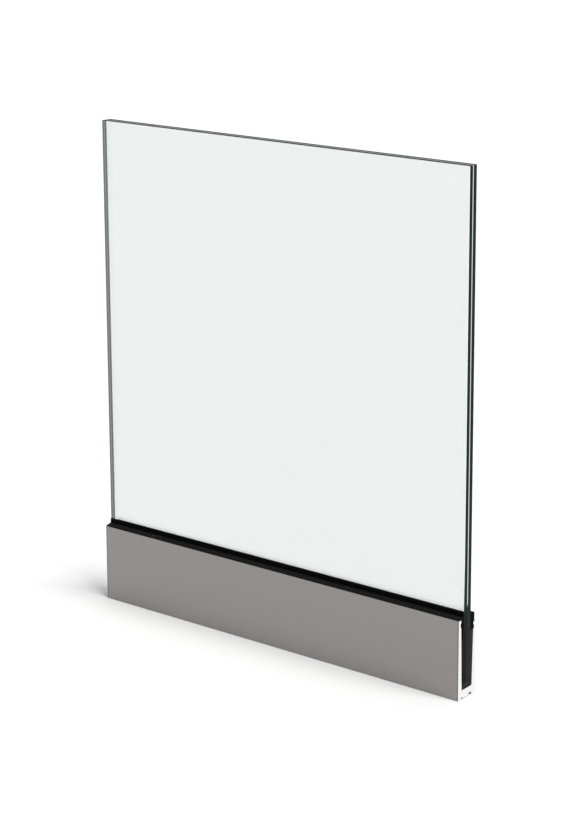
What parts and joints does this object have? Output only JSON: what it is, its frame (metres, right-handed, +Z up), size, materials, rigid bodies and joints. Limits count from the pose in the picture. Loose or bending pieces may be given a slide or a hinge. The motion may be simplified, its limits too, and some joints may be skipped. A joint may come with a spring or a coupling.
{
  "type": "glass guard in base channel",
  "caption": "Upright laminated glass screen held by plastic wedges and rubber strips in a low extruded aluminium base channel with open ends.",
  "frame": {"origin": "centre of the underside of the base channel, on the plane its feet stand on", "axes": "+X along the channel, -Y the front with the taller channel wall, +Z up"},
  "size_m": [0.526, 0.0334, 0.6],
  "materials": {
    "anodised_aluminium": "satin anodised",
    "glass": "polished",
    "laminating_film": "clear",
    "black_rubber": "matte",
    "charcoal_plastic": "matte moulded"
  },
  "bodies": {
    "root": {"base_channel": "anodised_aluminium", "glass_ply_front": "glass", "glass_interlayer": "laminating_film", "glass_ply_rear": "glass", "front_gasket": "black_rubber", "rear_gasket": "black_rubber", "rear_liner": "charcoal_plastic", "setting_block_1": "charcoal_plastic", "setting_block_2": "charcoal_plastic", "setting_block_3": "charcoal_plastic", "clamping_wedge_1": "charcoal_plastic", "clamping_wedge_2": "charcoal_plastic", "clamping_wedge_3": "charcoal_plastic"}
  },
  "joints": []
}
